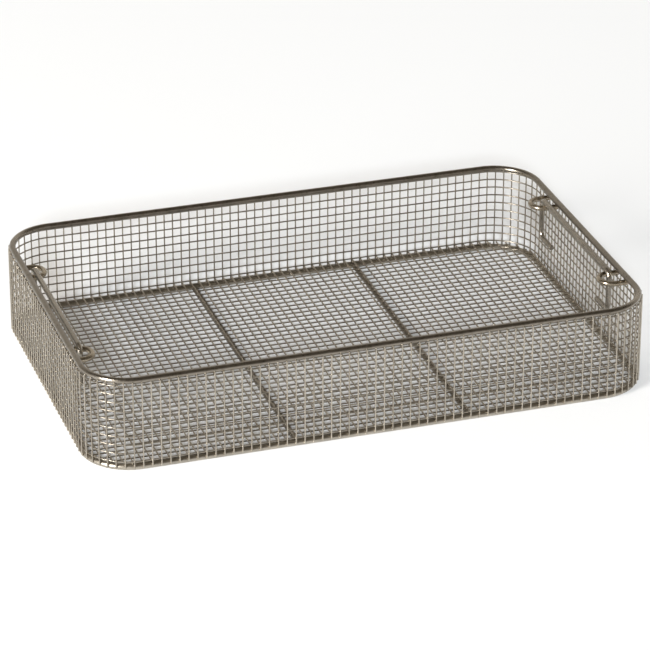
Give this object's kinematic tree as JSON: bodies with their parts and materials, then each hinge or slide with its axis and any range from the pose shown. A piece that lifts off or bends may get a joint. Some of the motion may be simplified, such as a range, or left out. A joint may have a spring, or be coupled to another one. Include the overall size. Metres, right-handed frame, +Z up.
{
  "type": "instrument sterilization basket",
  "caption": "Shallow rectangular wire mesh basket with rounded corners, a bar rim and base frame, and a sliding drop handle in eyelets inside each short wall.",
  "frame": {"origin": "centre of the underside of the base frame, on the surface that the basket stands on", "axes": "+X along the length towards the right short wall, +Y across the width towards the back wall, +Z up"},
  "size_m": [0.405, 0.26, 0.069],
  "materials": {
    "frame_bar": "electropolished bar",
    "mesh_wire": "electropolished fine wire",
    "handle_bar": "polished bar, worn bright at the bends"
  },
  "bodies": {
    "basket": {"back_left_corner_uprights": "mesh_wire", "back_right_corner_uprights": "mesh_wire", "back_wall_uprights": "mesh_wire", "base_frame": "frame_bar", "floor_bar_left": "frame_bar", "floor_bar_right": "frame_bar", "floor_cross_wires": "mesh_wire", "floor_long_wires": "mesh_wire", "front_left_corner_uprights": "mesh_wire", "front_right_corner_uprights": "mesh_wire", "front_wall_uprights": "mesh_wire", "handle_eyelets": "frame_bar", "left_wall_uprights": "mesh_wire", "right_wall_uprights": "mesh_wire", "top_rim": "frame_bar", "wall_ring_wire_01": "mesh_wire", "wall_ring_wire_02": "mesh_wire", "wall_ring_wire_03": "mesh_wire", "wall_ring_wire_04": "mesh_wire", "wall_ring_wire_05": "mesh_wire", "wall_ring_wire_06": "mesh_wire", "wall_ring_wire_07": "mesh_wire", "wall_ring_wire_08": "mesh_wire", "wall_ring_wire_09": "mesh_wire", "wall_ring_wire_10": "mesh_wire"},
    "left_handle": {"left_handle": "handle_bar"},
    "right_handle": {"right_handle": "handle_bar"}
  },
  "joints": [
    {"name": "left_handle_lift", "type": "slide", "parent": "basket", "child": "left_handle", "axis": [0, 0, 1], "range_m": [0, 0.0214]},
    {"name": "right_handle_lift", "type": "slide", "parent": "basket", "child": "right_handle", "axis": [0, 0, 1], "range_m": [0, 0.0214]}
  ]
}
